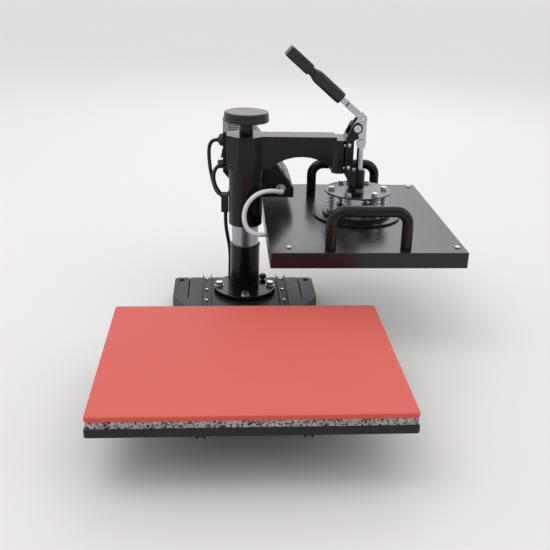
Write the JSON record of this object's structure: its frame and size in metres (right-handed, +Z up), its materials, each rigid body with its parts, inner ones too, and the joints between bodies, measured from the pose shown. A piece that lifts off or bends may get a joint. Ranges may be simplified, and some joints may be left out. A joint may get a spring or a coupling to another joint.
{
  "type": "heat press",
  "caption": "Swing-away heat press: lever toggle and screw spindle press a heated plate on a padded platen that slides out on rails.",
  "frame": {"origin": "point of the table top on the column's axis", "axes": "+Z up the column, -Y the way the drawer platen comes out, +X to the right"},
  "size_m": [0.527, 0.715, 0.4462],
  "materials": {
    "black_sheet": "semi-gloss black powder coat",
    "gloss_black": "gloss black enamel",
    "chrome": "polished chrome",
    "zinc": "bright zinc plate",
    "steel": "machined steel",
    "bronze": "turned bronze",
    "rubber": "black moulded rubber",
    "silicone": "matt red-orange silicone",
    "sponge": "speckled rebonded foam",
    "aluminium": "cast and milled",
    "fibre": "white ceramic fibre",
    "black_plastic": "fine grained black plastic",
    "panel": "printed overlay",
    "window": "smoked red window",
    "key": "grey keys",
    "board": "green circuit board",
    "mains_sheath": "black PVC sheath",
    "braid": "white glass-fibre sleeving"
  },
  "bodies": {
    "root": {"base_plate": "black_sheet", "rubber_feet": "rubber", "left_slide_rail": "black_sheet", "right_slide_rail": "black_sheet", "rail_screws": "zinc", "column_flange": "gloss_black", "flange_bolts": "zinc", "lower_tube": "gloss_black", "column_bush": "steel", "stop_knob": "black_plastic", "mains_lead_lower": "mains_sheath", "mains_lead_hank": "mains_sheath", "mains_plug": "black_plastic"},
    "drawer": {"left_runner": "steel", "right_runner": "steel", "platen_brackets": "black_sheet", "tray": "black_sheet", "sponge_pad": "sponge", "silicone_pad": "silicone"},
    "post": {"column_post": "chrome", "post_nut": "bronze"},
    "head": {"sleeve": "gloss_black", "arm": "gloss_black", "toggle_bracket": "gloss_black", "bracket_bolts": "zinc", "guide_bush": "bronze", "lever_pivot_pins": "zinc", "box_shell": "black_sheet", "box_cover": "black_sheet", "control_panel": "panel", "display_window": "window", "controller_board": "board", "mains_gland": "black_plastic", "fuse_holder": "black_plastic", "lead_gland": "chrome", "cord_clip": "black_plastic", "mains_lead_upper": "mains_sheath", "heater_lead": "braid"},
    "screw": {"handwheel": "gloss_black", "spindle": "steel"},
    "lever": {"lever_fork": "chrome", "lever_grip": "black_plastic", "lever_head": "black_plastic", "crank_pin": "zinc"},
    "link": {"toggle_link": "chrome"},
    "plunger": {"plunger_rod": "chrome", "spring_plate": "steel", "plate_springs": "zinc"},
    "heater": {"pressure_plate": "steel", "float_bolts": "zinc", "heater_cover": "gloss_black", "cover_screws": "zinc", "heating_plate": "aluminium", "insulation_mat": "fibre", "front_handle": "gloss_black", "rear_handle": "gloss_black"},
    "rocker": {"rocker_switch": "black_plastic"},
    "set_key": {"set_button": "key"},
    "down_key": {"down_button": "key"},
    "up_key": {"up_button": "key"}
  },
  "joints": [
    {"name": "platen_slide", "type": "slide", "parent": "root", "child": "drawer", "axis": [0, 1, 0], "range_m": [0, 0.192]},
    {"name": "arm_swing", "type": "hinge", "parent": "root", "child": "post", "pos_m": [0, 0, 0.1], "axis": [0, 0, 1], "range_deg": [-90, 45]},
    {"name": "head_height", "type": "slide", "parent": "post", "child": "head", "axis": [0, 0, 1], "range_m": [-0.0125, 0.012]},
    {"name": "handwheel_turn", "type": "hinge", "parent": "head", "child": "screw", "pos_m": [0, 0, 0.33], "axis": [0, 0, 1], "range_deg": [-1125.5, 1080.5]},
    {"name": "lever_turn", "type": "hinge", "parent": "head", "child": "lever", "pos_m": [0.18, 0, 0.32], "axis": [0, 1, 0], "range_deg": [0, 140.05]},
    {"name": "link_turn", "type": "hinge", "parent": "lever", "child": "link", "pos_m": [0.1889, 0, 0.3352], "axis": [0, 1, 0], "range_deg": [-148.6, 0]},
    {"name": "plunger_slide", "type": "slide", "parent": "head", "child": "plunger", "axis": [0, 0, -1], "range_m": [0, 0.0315]},
    {"name": "heater_float", "type": "slide", "parent": "plunger", "child": "heater", "axis": [0, 0, 1], "range_m": [0, 0.004], "stiffness_N_per_m": 30000, "springref_m": -0.002, "deforming": ["plate_springs"]},
    {"name": "rocker_turn", "type": "hinge", "parent": "head", "child": "rocker", "pos_m": [-0.0362, 0.07, 0.257], "axis": [0, 1, 0], "range_deg": [-12, 0]},
    {"name": "set_press", "type": "slide", "parent": "head", "child": "set_key", "axis": [-0.805, 0, -0.5933], "range_m": [0, 0.001], "stiffness_N_per_m": 500},
    {"name": "down_press", "type": "slide", "parent": "head", "child": "down_key", "axis": [-0.805, 0, -0.5933], "range_m": [0, 0.001], "stiffness_N_per_m": 500},
    {"name": "up_press", "type": "slide", "parent": "head", "child": "up_key", "axis": [-0.805, 0, -0.5933], "range_m": [0, 0.001], "stiffness_N_per_m": 500}
  ],
  "couplings": [
    {"joint": "handwheel_turn", "follows": "head_height", "rad_per_m": 1570.8},
    {"joint": "lever_turn", "follows": "plunger_slide", "rad_per_m": 77.57},
    {"joint": "link_turn", "follows": "plunger_slide", "rad_per_m": -82.193}
  ]
}
